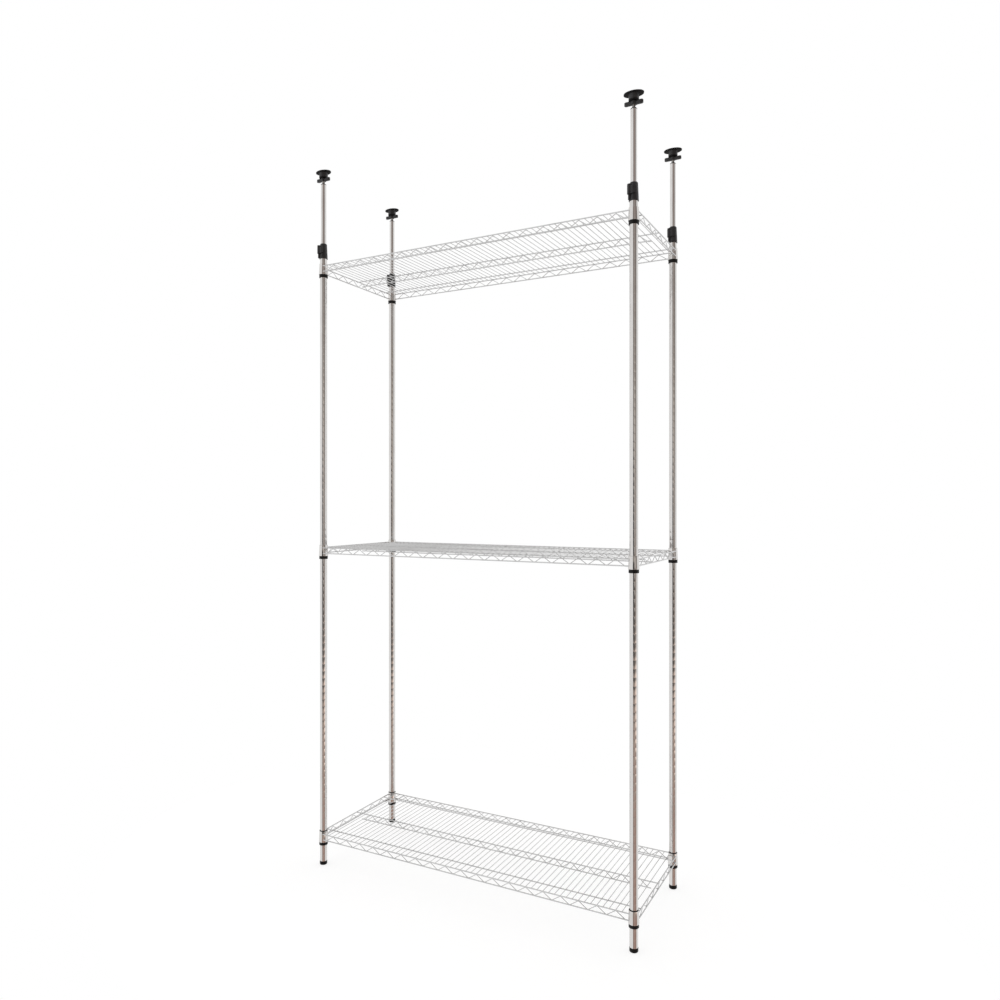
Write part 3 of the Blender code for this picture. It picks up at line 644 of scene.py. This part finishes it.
marks = handling_marks_group()
grain = moulded_grain_group()
CHROME = plated_metal(
    "chrome_plate", marks, colour=(0.675, 0.66, 0.645), tarnish=(0.625, 0.605, 0.59),
    roughness=(0.06, 0.13), bump=0.2, line_scale=900.0)
CHROME_WIRE = plated_metal(
    "chrome_wire", marks, colour=(0.60, 0.60, 0.60), tarnish=(0.52, 0.52, 0.52),
    roughness=(0.08, 0.18), bump=0.1, line_scale=700.0)
ZINC = plated_metal(
    "zinc_plate", marks, colour=(0.40, 0.39, 0.375), tarnish=(0.29, 0.28, 0.27),
    roughness=(0.22, 0.36), bump=0.3, line_scale=1500.0)
DARK_STEEL = plated_metal(
    "dark_steel", marks, colour=(0.17, 0.165, 0.16), tarnish=(0.10, 0.10, 0.10),
    roughness=(0.28, 0.42), bump=0.3, line_scale=1500.0)
NYLON = moulding(
    "black_nylon", grain, colour=(0.013, 0.013, 0.014), rubbed=(0.022, 0.022, 0.023),
    roughness=(0.38, 0.55), gloss=0.45, bump=0.25, grain_scale=1800.0)
SLEEVE_BLACK = moulding(
    "sleeve_black", grain, colour=(0.005, 0.005, 0.005), rubbed=(0.010, 0.010, 0.010),
    roughness=(0.40, 0.60), gloss=0.2, bump=0.25, grain_scale=1800.0)
RUBBER = moulding(
    "black_rubber", grain, colour=(0.006, 0.006, 0.006), rubbed=(0.012, 0.0115, 0.011),
    roughness=(0.55, 0.75), gloss=0.16, bump=0.35, grain_scale=1200.0)

ROW = row_of_wires_tree()
ZIGZAG = zigzag_tree()
THREAD = thread_tree()
STACK = stack_tree()


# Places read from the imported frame

def axis_of(corner):
    low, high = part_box("post_" + corner)
    return Vector(((low.x + high.x) / 2, (low.y + high.y) / 2, 0))


def heights(node):
    low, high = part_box(node + "_front_left")
    return low.z, high.z


AXES = {corner: axis_of(corner) for corner in CORNERS}
HALF_X = AXES["front_right"].x
HALF_Y = AXES["back_right"].y
RAIL_X = HALF_X + RAIL_OFFSET
RAIL_Y = HALF_Y + RAIL_OFFSET
SHELF_FOOT = {level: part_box("shelf_" + level)[0].z for level in LEVELS}


# Shelves

def wires(count, pitch, start, end, radius, facets):
    return grown(ROW, {"Wires": count, "Pitch": pitch, "Start": start, "End": end, "Radius": radius,
                       "Facets": facets, "Finish": CHROME_WIRE})


def rails():
    """Two rails on each edge, from collar to collar."""
    parts = []
    for z in (RAIL_LOW, RAIL_TOP):
        parts.append(wires(2, (0, 2 * RAIL_Y, 0), (-HALF_X, 0, z), (HALF_X, 0, z),
                           RAIL_RADIUS, RAIL_FACETS))
        parts.append(wires(2, (2 * RAIL_X, 0, 0), (0, -HALF_Y, z), (0, HALF_Y, z),
                           RAIL_RADIUS, RAIL_FACETS))
    return parts


def long_wires():
    """Wires that run under the deck from side to side, and the low wire of the centre truss."""
    reach = RAIL_X + RAIL_RADIUS / 2
    z = UNDERWIRE_HEIGHT
    return [
        wires(3, (0, UNDERWIRE_Y, 0), (-reach, 0, z), (reach, 0, z), RAIL_RADIUS, RAIL_FACETS),
        wires(1, (0, 0, 0), (-CENTRE_END, 0, CENTRE_LOW), (CENTRE_END, 0, CENTRE_LOW), RAIL_RADIUS,
              RAIL_FACETS),
    ]


def zigzag(half_waves, low, high, reach, turn, place):
    """A zigzag whose rounded bends just reach the heights that are asked for."""
    slope = math.atan2(high - low, HALF_WAVE)
    lost = ZIGZAG_BEND * (1 / math.cos(slope) - 1)
    mesh = grown(ZIGZAG, {"Half Waves": half_waves, "Half Wave": HALF_WAVE, "Low": low - lost,
                          "High": high + lost, "Bend": ZIGZAG_BEND, "Reach": reach,
                          "Radius": ZIGZAG_RADIUS, "Facets": WIRE_FACETS, "Finish": CHROME_WIRE})
    mesh.transform(Matrix.Translation(place) @ Matrix.Rotation(turn, 4, "Z"))
    return mesh


def zigzags():
    """One zigzag inside each edge, and one beside the centre wires."""
    beside = RAIL_RADIUS + ZIGZAG_RADIUS - WELD_BITE
    quarter = math.pi / 2
    tail_x = HALF_X - COLLAR_FOOT / 2
    tail_y = HALF_Y - COLLAR_FOOT / 2
    parts = []
    for side in (-1, 1):
        y = side * (RAIL_Y - beside)
        x = side * (RAIL_X - beside)
        parts.append(zigzag(LONG_HALF_WAVES, ZIGZAG_LOW, ZIGZAG_HIGH, tail_x, 0, (0, y, 0)))
        parts.append(zigzag(SHORT_HALF_WAVES, ZIGZAG_LOW, ZIGZAG_HIGH, tail_y, quarter, (x, 0, 0)))
    parts.append(zigzag(LONG_HALF_WAVES, CENTRE_LOW, UNDERWIRE_HEIGHT, CENTRE_END, 0,
                        (0, beside, 0)))
    return parts


def collars():
    """The cone that each corner of a shelf sits on its sleeve with."""
    parts = []
    for corner in CORNERS:
        cone = turned([
            (COLLAR_FOOT - COLLAR_WALL, 0, COLLAR_LIP), (COLLAR_FOOT, 0, COLLAR_LIP),
            (COLLAR_HEAD, COLLAR_HEIGHT, COLLAR_LIP),
            (COLLAR_HEAD - COLLAR_WALL, COLLAR_HEIGHT, COLLAR_LIP),
        ], "collar", CHROME)
        cone.transform(Matrix.Translation(AXES[corner]))
        parts.append(cone)
    return parts


def wire_shelf():
    """One welded shelf with the foot of its collars at z 0."""
    inner = wires(DECK_WIRES - 2, (DECK_PITCH, 0, 0), (0, -RAIL_Y, DECK_HEIGHT),
                  (0, RAIL_Y, DECK_HEIGHT), DECK_RADIUS, WIRE_FACETS)
    outer = wires(2, ((DECK_WIRES - 1) * DECK_PITCH, 0, 0), (0, -HALF_Y, DECK_HEIGHT),
                  (0, HALF_Y, DECK_HEIGHT), DECK_RADIUS, WIRE_FACETS)
    bare_wires = rails() + long_wires() + zigzags() + [inner, outer]
    return joined("wire_shelf", [(CHROME_WIRE, bare_wires), (CHROME, collars())])


shelf = wire_shelf()
for level in LEVELS:
    show(shelf, "wire_shelf_" + level, "frame", "shelf_" + level,
         (0, 0, SHELF_FOOT[level]))


# Posts, feet and sleeves

def grooved_post():
    """Tube with a shallow groove rolled round it at every pitch."""
    low, high = heights("post")
    bore = POST_RADIUS - POST_WALL
    start = low + POST_END
    wall = [(POST_RADIUS, 0), (POST_RADIUS, GROOVE_PITCH - GROOVE_WIDTH)]
    for i in range(1, GROOVE_STEPS):
        t = i / GROOVE_STEPS
        wall.append((POST_RADIUS - GROOVE_DEPTH * math.sin(math.pi * t) ** 2,
                     GROOVE_PITCH - GROOVE_WIDTH * (1 - t)))
    wall.append((POST_RADIUS, GROOVE_PITCH))
    ring = bpy.data.objects.new("ring", finished(turned_wall_bm(wall), "ring", CHROME))
    bpy.context.collection.objects.link(ring)
    count = int((high - low - 2 * POST_END) / GROOVE_PITCH)
    grooved = grown(STACK, {"Ring": ring, "Rings": count, "Pitch": (0, 0, GROOVE_PITCH),
                            "First": (0, 0, start), "Finish": CHROME})
    bpy.data.objects.remove(ring, do_unlink=True)
    whole = turned_wall_bm([
        (POST_RADIUS, start + count * GROOVE_PITCH), (POST_RADIUS, high - FIT),
        (POST_RADIUS - FIT, high), (bore, high), (bore, low), (POST_RADIUS - FIT, low),
        (POST_RADIUS, low + FIT), (POST_RADIUS, start)])
    whole.from_mesh(grooved)
    return finished(whole, "post", CHROME)


def foot():
    low, high = heights("foot")
    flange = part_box("post_front_left")[0].z - FIT
    spigot = POST_RADIUS - POST_WALL - FIT
    return turned([
        (0, low, 0), (FOOT_RADIUS - FOOT_TREAD, low, 0.5 * MM),
        (FOOT_RADIUS, low + FOOT_CHAMFER, 1.0 * MM), (FOOT_RADIUS, flange, 0.8 * MM),
        (spigot, flange, 0.2 * MM), (spigot, high, 0.8 * MM), (0, high, 0),
    ], "foot", RUBBER)


def sleeve(level):
    """Split sleeve between post and collar; z 0 is the foot of the collar."""
    low, high = heights("sleeve_" + level)
    low -= SHELF_FOOT[level]
    high -= SHELF_FOOT[level]
    foot_radius = COLLAR_FOOT - COLLAR_WALL - FIT
    taper = (COLLAR_FOOT - COLLAR_HEAD) * high / COLLAR_HEIGHT
    gap = SLEEVE_SLIT / SLEEVE_LIP
    return turned([
        (SLEEVE_BORE, low, 0.2 * MM), (SLEEVE_LIP, low, 0.5 * MM), (SLEEVE_LIP, 0, 0.2 * MM),
        (foot_radius, 0, 0.1 * MM), (foot_radius - taper, high, 0.2 * MM),
        (SLEEVE_BORE, high, 0.1 * MM),
    ], "sleeve", SLEEVE_BLACK, gap=gap)


# Clamps

def bearing(distance, degrees=LEVER_BEARING):
    angle = math.radians(180 + degrees)
    return Vector((distance * math.cos(angle), distance * math.sin(angle)))


def arc(centre, radius, start, sweep, steps):
    """Plan points on a circle; steps is the number of facets in the sweep."""
    angles = [start + sweep * i / steps for i in range(steps + 1)]
    return [(centre[0] + radius * math.cos(a), centre[1] + radius * math.sin(a)) for a in angles]


def disc(centre, radius):
    return arc(centre, radius, 0, 2 * math.pi, DISC_FACETS)[:-1]


CAM_TO_AXIS = TUBE_RADIUS + FIT + CAM_RADIUS
PIN_TO_AXIS = CAM_TO_AXIS + CAM_OFFSET


def ear_outline(radius):
    """Plan of a lug or an ear: round about the pin, straight back into the collar."""
    facing = math.radians(180 + LEVER_BEARING)
    pin, root = bearing(PIN_TO_AXIS), bearing(TUBE_RADIUS)
    quarter = math.pi / 2
    return (arc(pin, radius, facing - quarter, math.pi, HALF_ROUND_STEPS)
            + arc(root, radius, facing + quarter, -math.pi, 1))


def clamp_body():
    """Socket over the post that tapers to a collar, with a lug and an ear for the lever's pin."""
    low, high = heights("clamp_body")
    lever_low, lever_high = heights("clamp_lever")
    step = heights("post")[1] + FIT
    shell = turned_bm(filleted([
        (0, low, 0), (SOCKET_RADIUS + SOCKET_FLARE, low, 0.6 * MM),
        (SOCKET_RADIUS, step - SOCKET_SHOULDER, 2 * MM), (SOCKET_RADIUS, step, 2.5 * MM),
        (CLAMP_COLLAR, high - CLAMP_EDGE, 0.8 * MM), (CLAMP_COLLAR - CLAMP_EDGE, high, 0.5 * MM),
        (0, high, 0)]))
    under, over = low - CUT_PAST, high + CUT_PAST
    tube_bore = TUBE_RADIUS + FIT
    bore = turned_bm(filleted([
        (0, under, 0), (SLEEVE_BORE, under, 0), (SLEEVE_BORE, step, 0),
        (tube_bore, step, 0), (tube_bore, over, 0), (0, over, 0)]))
    window_low, window_high = lever_low - FIT, lever_high + FIT
    lug = slab_bm(ear_outline(LUG_RADIUS), low + LUG_FOOT, window_low, EAR_EDGE)
    ear = slab_bm(ear_outline(EAR_RADIUS), window_high, window_high + EAR_THICKNESS, EAR_EDGE)
    pin = bearing(PIN_TO_AXIS)
    window = slab_bm(disc(pin, CAM_RADIUS + CAM_OFFSET + 2 * FIT), window_low, window_high)
    pin_hole = slab_bm(disc(pin, PIN_RADIUS + FIT), heights("lever_pin")[0] - FIT, high)
    return carved(shell, [("UNION", lug), ("UNION", ear), ("DIFFERENCE", window),
                          ("DIFFERENCE", bore), ("DIFFERENCE", pin_hole)], "clamp_body", NYLON)


def lever_arm(low, high):
    """Curved arm that thins towards a lipped tip."""
    bm = bmesh.new()
    middle = (low + high) / 2
    rows = []
    for i in range(ARM_STEPS + 1):
        t = i / ARM_STEPS
        inner = ARM_INNER + ARM_LIP * max(0.0, t - ARM_LIP_FROM) / (1 - ARM_LIP_FROM)
        outer = inner + ARM_WALL * (1 - ARM_THINNING * t)
        centre = (inner + outer) / 2
        half_wall = (outer - inner) / 2
        half_height = (high - low) / 2 * (1 - ARM_LOWERING * t ** 2)
        if i == ARM_STEPS:
            half_wall *= ARM_TIP
            half_height *= ARM_TIP_HEIGHT
        edge = min(ARM_EDGE, half_wall * ARM_EDGE_SHARE)
        near, far = centre - half_wall, centre + half_wall
        foot, head = middle - half_height, middle + half_height
        section = filleted([(near, foot, edge), (far, foot, edge), (far, head, edge),
                            (near, head, edge)])
        degrees = LEVER_BEARING + ARM_SWEEP * t
        rows.append([bm.verts.new((*bearing(p[0], degrees), p[1])) for p in section])
    for first, second in zip(rows, rows[1:]):
        bridge(bm, first, second)
    bm.faces.new(rows[0][::-1])
    bm.faces.new(rows[-1])
    return bm


def clamp_lever():
    """Cam barrel with its curved arm."""
    low, high = heights("clamp_lever")
    barrel = slab_bm(disc(bearing(CAM_TO_AXIS), CAM_RADIUS), low, high, CAM_EDGE)
    arm = lever_arm(low + FIT, high - FIT)
    hole = slab_bm(disc(bearing(PIN_TO_AXIS), PIN_RADIUS + FIT), low - CUT_PAST, high + CUT_PAST)
    return carved(barrel, [("UNION", arm), ("DIFFERENCE", hole)], "clamp_lever", NYLON)


def lever_pin():
    """Pin with a low domed head on the upper ear."""
    low, high = heights("lever_pin")
    crown = high + PIN_HEAD_RISE
    pin = turned([
        (0, low, 0), (PIN_RADIUS, low, 0.3 * MM), (PIN_RADIUS, high, 0),
        (PIN_HEAD, high, 0.1 * MM), (PIN_HEAD, crown, 0.6 * MM), (0, crown, 0),
    ], "lever_pin", ZINC, facets=PIN_FACETS)
    pin.transform(Matrix.Translation((*bearing(PIN_TO_AXIS), 0)))
    return pin


# Telescoping tubes, hand screws and pads

def inner_tube():
    low, high = heights("inner_tube")
    bore = TUBE_RADIUS - TUBE_WALL
    return turned([
        (bore, low, 0.2 * MM), (TUBE_RADIUS, low, 0.3 * MM), (TUBE_RADIUS, high, 0.5 * MM),
        (bore, high, 0.2 * MM),
    ], "inner_tube", CHROME)


def end_nut():
    """Flanged nut with a low collar, on a spigot in the tube."""
    low, high = heights("end_nut")
    seat = heights("inner_tube")[1] + FIT
    bore = SCREW_RADIUS + FIT
    spigot = TUBE_RADIUS - TUBE_WALL - FIT
    flange = seat + NUT_FLANGE
    return turned([
        (bore, low, 0), (spigot, low, 0.4 * MM), (spigot, seat, 0), (NUT_RADIUS, seat, 0.3 * MM),
        (NUT_RADIUS, flange, 0.7 * MM), (NUT_COLLAR, flange, 0), (NUT_COLLAR, high, 0.3 * MM),
        (bore, high, 0.2 * MM),
    ], "end_nut", DARK_STEEL)


def hand_screw():
    """Core with a climbing thread below the handle."""
    low, high = heights("hand_screw")
    handle_low = heights("screw_handle")[0]
    core = SCREW_RADIUS - THREAD_DEPTH
    rod = turned([
        (0, low, 0), (core - 0.4 * MM, low, 0.3 * MM), (core, low + 1 * MM, 0.3 * MM),
        (core, handle_low, 0), (SCREW_RADIUS, handle_low, 0), (SCREW_RADIUS, high, 0.4 * MM),
        (0, high, 0),
    ], "rod", ZINC, facets=SCREW_FACETS)
    length = handle_low - low - THREAD_LEAD
    thread = grown(THREAD, {"Turns": length / THREAD_LEAD, "Length": length, "Pitch Radius": core,
                            "Ridge": THREAD_DEPTH, "Finish": ZINC})
    thread.transform(Matrix.Translation((0, 0, low + THREAD_LEAD / 2)))
    return joined("hand_screw", [(ZINC, [rod, thread])])


def bar_outline(length, width):
    """Plan of a bar along X with half round ends."""
    radius = width / 2
    centre = length / 2 - radius
    return (arc((centre, 0), radius, -math.pi / 2, math.pi, HALF_ROUND_STEPS)
            + arc((-centre, 0), radius, math.pi / 2, math.pi, HALF_ROUND_STEPS))


def screw_handle():
    """Cross bar with a round hub."""
    low, high = heights("screw_handle")
    left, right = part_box("screw_handle_front_left")
    bar = slab_bm(bar_outline(right.x - left.x, HANDLE_WIDTH), low, high, HANDLE_EDGE)
    hub = turned_bm(filleted([
        (0, low + FIT, 0), (HUB_RADIUS, low + FIT, HUB_EDGE), (HUB_RADIUS, high - FIT, HUB_EDGE),
        (0, high - FIT, 0)]))
    bore, under, over = SCREW_RADIUS + FIT, low - CUT_PAST, high + CUT_PAST
    hole = turned_bm([(0, under), (bore, under), (bore, over), (0, over)])
    return carved(bar, [("UNION", hub), ("DIFFERENCE", hole)], "screw_handle", NYLON)


def ceiling_pad():
    """Oval rubber pad on a moulded neck with a blind hole for the screw's tip; the pad's darker
    rubber also covers the neck's foot as painted shade where it meets the handle.
    """
    low, high = heights("ceiling_pad")
    plate = high - PAD_THICKNESS
    tip = heights("hand_screw")[1] + FIT
    hole = SCREW_RADIUS + FIT
    # seat is the top of the painted shade band: below it the neck keeps the pad's darker rubber
    seat = low + NECK_SHADE_BAND
    neck = filleted([
        (0, tip, 0), (hole, tip, 0), (hole, low, 0.3 * MM), (NECK_RADIUS, low, 1.0 * MM),
        (NECK_RADIUS, seat, 0), (NECK_RADIUS, plate, PAD_EDGE), (PAD_HALF_WIDTH, plate, PAD_EDGE),
        (PAD_HALF_WIDTH, high, PAD_EDGE), (0, high, 0)])
    bm = bmesh.new()
    angles = [2 * math.pi * i / PAD_FACETS for i in range(PAD_FACETS)]
    rows = []
    for r, z in neck:
        oval = max(0.0, (r - NECK_RADIUS) / (PAD_HALF_WIDTH - NECK_RADIUS))
        if z > high - PAD_EDGE:
            oval = r / PAD_HALF_WIDTH
        reach = r + (PAD_HALF_LENGTH - PAD_HALF_WIDTH) * oval
        rows.append([bm.verts.new((reach * math.cos(a), r * math.sin(a), z)) for a in angles])
    for first, second in zip(rows, rows[1:]):
        bridge(bm, first, second)
    pad = finished(bm, "ceiling_pad", RUBBER)
    # The neck is nylon; its faces below seat stay dark rubber, painted shade where the neck meets
    # the handle
    pad.materials.append(NYLON)
    for face in pad.polygons:
        if seat < face.center.z < plate - PAD_EDGE / 2:
            face.material_index = 1
    return pad


POST_PIECES = {
    "post": (grooved_post(), "frame", "chrome_plate"),
    "foot": (foot(), "frame", "black_rubber"),
    "clamp_body": (clamp_body(), "frame", "black_nylon"),
    "lever_pin": (lever_pin(), "frame", "zinc_plate"),
    "clamp_lever": (clamp_lever(), "lever", "black_nylon"),
    "inner_tube": (inner_tube(), "tube", "chrome_plate"),
    "end_nut": (end_nut(), "tube", "zinc_plate"),
    "hand_screw": (hand_screw(), "jack", "zinc_plate"),
    "screw_handle": (screw_handle(), "jack", "black_nylon"),
    "ceiling_pad": (ceiling_pad(), "pad", "black_rubber"),
}
SLEEVES = {level: sleeve(level) for level in LEVELS}
for corner in CORNERS:
    for node, (mesh, body, slot) in POST_PIECES.items():
        carrier = body if body == "frame" else body + "_" + corner
        place = node + "_" + corner
        show(mesh, "dressed_" + place, carrier, place, AXES[corner])
    for level in LEVELS:
        lift = Vector((0, 0, SHELF_FOOT[level]))
        node = "sleeve_" + level + "_" + corner
        show(SLEEVES[level], "dressed_" + node, "frame", node, AXES[corner] + lift)
    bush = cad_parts["guide_bush_" + corner]
    bush.data.materials.clear()
    bush.data.materials.append(NYLON)


# Floor, light and camera

def white_floor():
    """A pale oval floor under the rack that keeps its shadow."""
    bm = bmesh.new()
    bmesh.ops.create_circle(bm, cap_ends=True, segments=FLOOR_SEGMENTS, radius=1.0)
    bmesh.ops.scale(bm, verts=bm.verts, vec=(*FLOOR_REACH, 1.0))
    mesh = bpy.data.meshes.new("floor")
    bm.to_mesh(mesh)
    bm.free()
    floor = bpy.data.objects.new("floor", mesh)
    floor.location.z = -FLOOR_DROP
    floor.visible_glossy = False      # the posts mirror the studio down to their feet
    bpy.context.collection.objects.link(floor)
    material = bpy.data.materials.new("white_floor")
    material.use_nodes = True
    tree = material.node_tree
    shader = tree.nodes["Principled BSDF"]
    shader.inputs["Roughness"].default_value = 0.9
    shader.inputs["Specular IOR Level"].default_value = 0.0
    shader.inputs["Emission Color"].default_value = WHITE
    seen = put(tree, "ShaderNodeLightPath").outputs["Is Camera Ray"]
    paint = blend_colours(tree, seen, FLOOR_PAINT, FLOOR_SEEN)
    tree.links.new(paint, shader.inputs["Base Color"])
    tree.links.new(calc(tree, "MULTIPLY", seen, FLOOR_GLOW), shader.inputs["Emission Strength"])
    mesh.materials.append(material)


def studio_world():
    """White all round, but for a dim warm side in front of the rack and a narrow one behind."""
    world = bpy.data.worlds.new("studio")
    bpy.context.scene.world = world
    world.use_nodes = True
    tree = world.node_tree
    background = tree.nodes["Background"]
    way = put(tree, "ShaderNodeTexCoord").outputs["Generated"]
    parts = put(tree, "ShaderNodeSeparateXYZ", {0: way}).outputs
    rise = parts["Z"]
    level = put(tree, "ShaderNodeCombineXYZ", {"X": parts["X"], "Y": parts["Y"]}).outputs[0]
    flat = put(tree, "ShaderNodeVectorMath", {0: level}, operation="NORMALIZE").outputs[0]
    fade = remap(tree, calc(tree, "ABSOLUTE", rise), *reversed(SIDE_FADE))
    edge = math.radians(SIDE_EDGE)

    turn = math.radians(CAMERA_TURN + FRONT_TURN)
    ahead = along(tree, flat, (math.sin(turn), -math.cos(turn), 0))
    aside = along(tree, flat, (math.cos(turn), math.sin(turn), 0))
    swing = calc(tree, "ARCTAN2", aside, ahead)
    half = math.radians(FRONT_HALF)
    front = remap(tree, calc(tree, "ABSOLUTE", swing), half + edge, half - edge)
    front = calc(tree, "MULTIPLY", front, fade)

    turn = math.radians(CAMERA_TURN)
    behind = along(tree, flat, (-math.sin(turn), math.cos(turn), 0))
    half_back = math.radians(BACK_HALF)
    back = remap(tree, behind, math.cos(half_back + edge), math.cos(half_back - edge))
    back = calc(tree, "MULTIPLY", back, fade)

    across = share(tree, swing, -half, half)
    bands = stops_ramp(tree, across, WALL_BANDS)
    wall = stops_ramp(tree, share(tree, rise, -WALL_RISE, WALL_RISE), WALL_COLOURS)
    wall = blend_colours(tree, 1.0, wall, bands, mode="MULTIPLY")
    for start, end, foot, head, shade in WALL_PANELS:
        columns = between(tree, across, start, end, PANEL_EDGE_ACROSS)
        rows = between(tree, rise, foot, head, PANEL_EDGE_RISE)
        panel = calc(tree, "MULTIPLY", columns, rows)
        wall = blend_colours(tree, panel, wall, (shade, shade, shade, 1), mode="MULTIPLY")

    room = blend_colours(tree, front, WHITE, wall)
    room = blend_colours(tree, back, room, (*BACK_COLOUR, 1))
    seen = put(tree, "ShaderNodeLightPath").outputs["Is Camera Ray"]
    tree.links.new(blend_colours(tree, seen, room, WHITE), background.inputs["Color"])
    background.inputs["Strength"].default_value = 1.0


def camera():
    lens = bpy.data.cameras.new("camera")
    lens.lens = CAMERA_LENS
    lens.sensor_width = SENSOR
    eye = bpy.data.objects.new("camera", lens)
    eye.location = CAMERA_PLACE
    eye.rotation_euler = (math.pi / 2, 0, math.radians(CAMERA_TURN))
    bpy.context.collection.objects.link(eye)
    bpy.context.scene.camera = eye


white_floor()
studio_world()
camera()
bpy.context.scene.view_settings.view_transform = "Standard"
